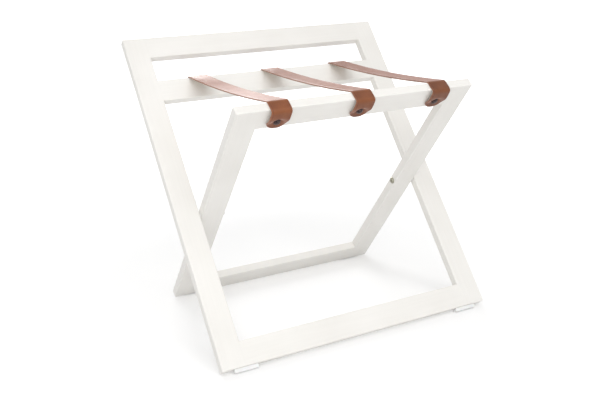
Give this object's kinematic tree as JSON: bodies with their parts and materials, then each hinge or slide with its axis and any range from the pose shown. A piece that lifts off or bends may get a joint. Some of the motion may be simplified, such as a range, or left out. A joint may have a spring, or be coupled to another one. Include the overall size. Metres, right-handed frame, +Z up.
{
  "type": "folding luggage rack",
  "caption": "Folding luggage rack: two crossed white-painted wooden frames turning on pivot bolts, with leather straps on top to carry a suitcase and a raised backrest rail.",
  "frame": {"origin": "on the floor, under the middle of the rack's box", "axes": "+X along the rails to the right as seen from the front, +Y to the back where the backrest rises, +Z up"},
  "size_m": [0.6, 0.4648, 0.5634],
  "materials": {
    "painted_wood": "white satin paint on hardwood, edges softly rounded",
    "leather": "cognac saddle leather, polished, with burnished edges and a creased line",
    "bronze": "dark antique bronze, domed and worn bright at the crown",
    "plain_steel": "dull plated steel",
    "brass": "turned brass",
    "nylon": "white moulded nylon",
    "beech": "plain beech"
  },
  "bodies": {
    "back_frame": {"back_left_stile": "painted_wood", "back_right_stile": "painted_wood", "back_top_rail": "painted_wood", "back_strap_rail": "painted_wood", "back_bottom_rail": "painted_wood", "back_top_rail_dowel_left_lower": "beech", "back_top_rail_dowel_left_upper": "beech", "back_top_rail_dowel_right_lower": "beech", "back_top_rail_dowel_right_upper": "beech", "back_strap_rail_dowel_left_lower": "beech", "back_strap_rail_dowel_left_upper": "beech", "back_strap_rail_dowel_right_lower": "beech", "back_strap_rail_dowel_right_upper": "beech", "back_bottom_rail_dowel_left_lower": "beech", "back_bottom_rail_dowel_left_upper": "beech", "back_bottom_rail_dowel_right_lower": "beech", "back_bottom_rail_dowel_right_upper": "beech", "back_left_glide": "nylon", "back_right_glide": "nylon", "left_pivot_bolt": "plain_steel", "right_pivot_bolt": "plain_steel", "left_pivot_insert": "brass", "right_pivot_insert": "brass", "left_pivot_washer": "nylon", "right_pivot_washer": "nylon", "left_rear_stud": "bronze", "middle_rear_stud": "bronze", "right_rear_stud": "bronze", "left_strap": "leather", "middle_strap": "leather", "right_strap": "leather"},
    "front_frame": {"front_left_leg": "painted_wood", "front_right_leg": "painted_wood", "front_top_rail": "painted_wood", "front_bottom_rail": "painted_wood", "front_top_rail_dowel_left_lower": "beech", "front_top_rail_dowel_left_upper": "beech", "front_top_rail_dowel_right_lower": "beech", "front_top_rail_dowel_right_upper": "beech", "front_bottom_rail_dowel_left_lower": "beech", "front_bottom_rail_dowel_left_upper": "beech", "front_bottom_rail_dowel_right_lower": "beech", "front_bottom_rail_dowel_right_upper": "beech", "front_left_glide": "nylon", "front_right_glide": "nylon", "left_pivot_bush": "nylon", "right_pivot_bush": "nylon", "left_front_stud": "bronze", "middle_front_stud": "bronze", "right_front_stud": "bronze"}
  },
  "joints": [
    {"name": "fold", "type": "hinge", "parent": "back_frame", "child": "front_frame", "pos_m": [0, -0.02804, 0.24461], "axis": [-1, 0, 0], "range_deg": [0, 72], "deforming": ["left_strap", "middle_strap", "right_strap"]}
  ]
}
